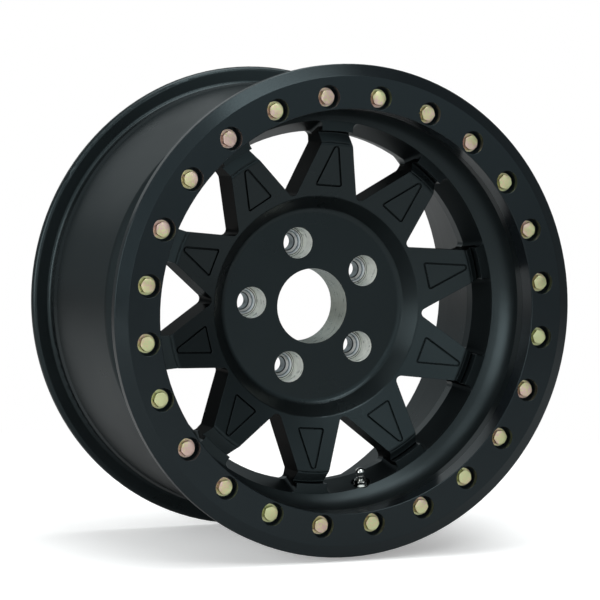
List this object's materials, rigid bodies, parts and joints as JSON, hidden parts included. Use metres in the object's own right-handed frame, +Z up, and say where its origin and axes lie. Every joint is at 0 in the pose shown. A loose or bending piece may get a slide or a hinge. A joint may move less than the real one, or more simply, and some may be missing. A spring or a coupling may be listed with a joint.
{
  "type": "car wheel",
  "caption": "Spoked one-piece car wheel with a dished centre, a bolted clamp ring that holds the tyre's front bead, and a metal air valve.",
  "frame": {"origin": "centre of the hub's mounting face, on the spin axis", "axes": "+Y along the spin axis, from the front to the mounting face; +Z up"},
  "size_m": [0.4732, 0.2615, 0.4732],
  "materials": {
    "wheel_paint": "satin black powder coat over cast aluminium",
    "ring_paint": "satin black powder coat over machined aluminium",
    "bolt_zinc": "yellow zinc plating",
    "washer_zinc": "yellow zinc plating",
    "valve_metal": "bright plating",
    "cap_metal": "polished plating",
    "seal_rubber": "matt",
    "core_brass": "turned"
  },
  "bodies": {
    "wheel": {"wheel_body": "wheel_paint", "beadlock_ring": "ring_paint", "beadlock_bolts": "bolt_zinc", "beadlock_washers": "washer_zinc", "valve_stem": "valve_metal", "valve_nut": "valve_metal", "valve_washer": "valve_metal", "valve_seal": "seal_rubber", "valve_core": "core_brass"},
    "cap": {"valve_cap": "cap_metal"},
    "pin": {"valve_pin": "core_brass"}
  },
  "joints": [
    {"name": "cap_off", "type": "slide", "parent": "wheel", "child": "cap", "axis": [-0.2308, -0.3727, 0.8988], "range_m": [0, 0.014]},
    {"name": "pin_press", "type": "slide", "parent": "wheel", "child": "pin", "axis": [0.2308, 0.3727, -0.8988], "range_m": [0, 0.0015], "stiffness_N_per_m": 1000, "springref_m": -0.001}
  ]
}
